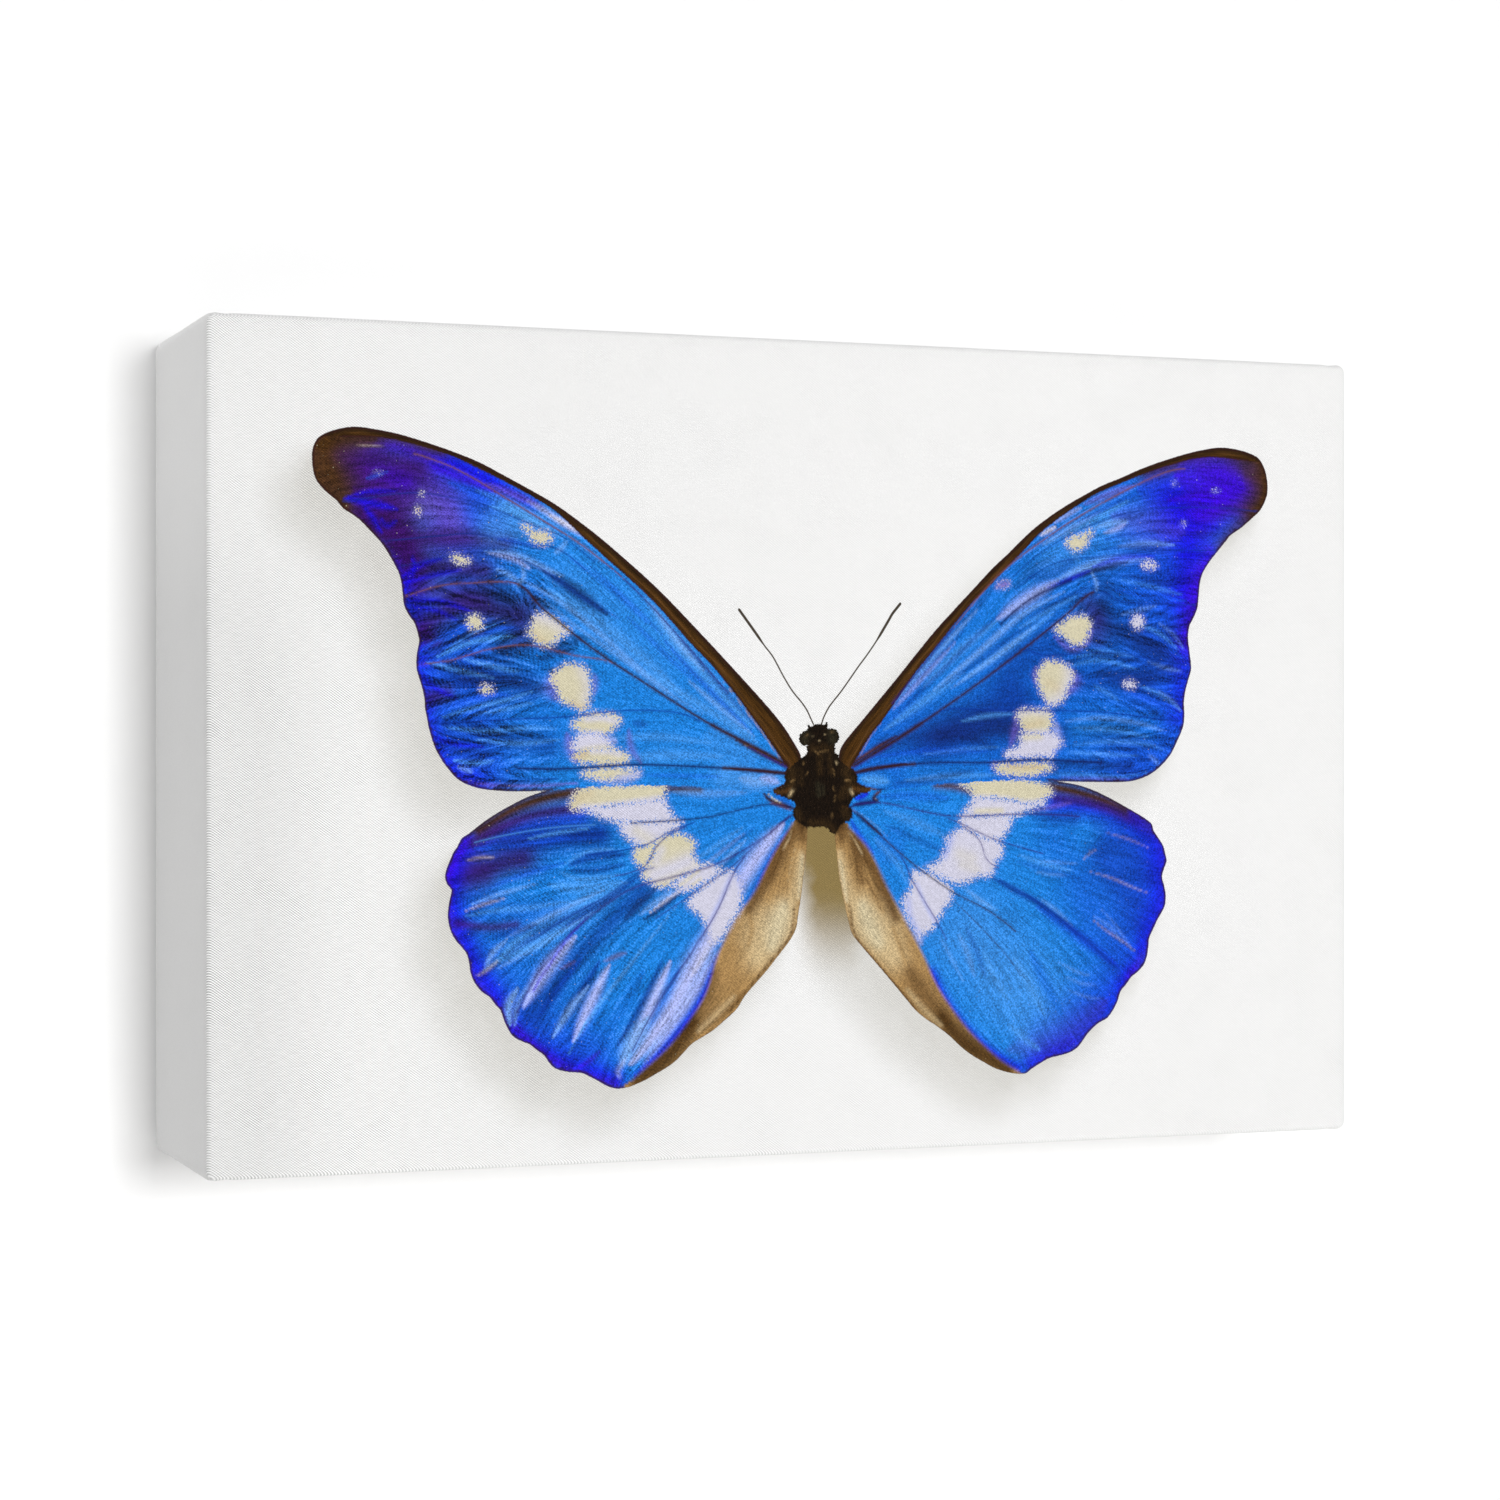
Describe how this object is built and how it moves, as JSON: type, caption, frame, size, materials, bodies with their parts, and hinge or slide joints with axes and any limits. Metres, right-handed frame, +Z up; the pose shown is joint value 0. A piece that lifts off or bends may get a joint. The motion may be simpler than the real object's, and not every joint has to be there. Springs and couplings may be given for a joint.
{
  "type": "stretched canvas print",
  "caption": "Deep box-edged canvas print of a spread blue butterfly, stretched over a wooden bar frame and hung on a sawtooth plate.",
  "frame": {"origin": "middle of the roof of the sawtooth plate's middle notch, where the wall nail carries the picture", "axes": "+X to the right as the picture is seen from the front, +Y back into the wall, +Z up"},
  "size_m": [0.2286, 0.0524, 0.1524],
  "materials": {
    "coated_canvas": "white-coated woven canvas with a matt print",
    "pine": "planed, bare",
    "galvanised_wire": "zinc-coated wire",
    "brassed_steel": "thin brass plating on stamped steel",
    "soft_grey_rubber": "matt moulded rubber"
  },
  "bodies": {
    "root": {"printed_canvas": "coated_canvas", "stretcher_bar_top": "pine", "stretcher_bar_bottom": "pine", "stretcher_bar_left": "pine", "stretcher_bar_right": "pine", "sawtooth_plate": "brassed_steel", "plate_pin_left": "brassed_steel", "plate_pin_right": "brassed_steel", "bumper_left": "soft_grey_rubber", "bumper_right": "soft_grey_rubber", "staple_01": "galvanised_wire", "staple_02": "galvanised_wire", "staple_03": "galvanised_wire", "staple_04": "galvanised_wire", "staple_05": "galvanised_wire", "staple_06": "galvanised_wire", "staple_07": "galvanised_wire", "staple_08": "galvanised_wire", "staple_09": "galvanised_wire", "staple_10": "galvanised_wire", "staple_11": "galvanised_wire", "staple_12": "galvanised_wire", "staple_13": "galvanised_wire", "staple_14": "galvanised_wire", "staple_15": "galvanised_wire", "staple_16": "galvanised_wire", "staple_17": "galvanised_wire", "staple_18": "galvanised_wire", "staple_19": "galvanised_wire", "staple_20": "galvanised_wire"}
  },
  "joints": []
}
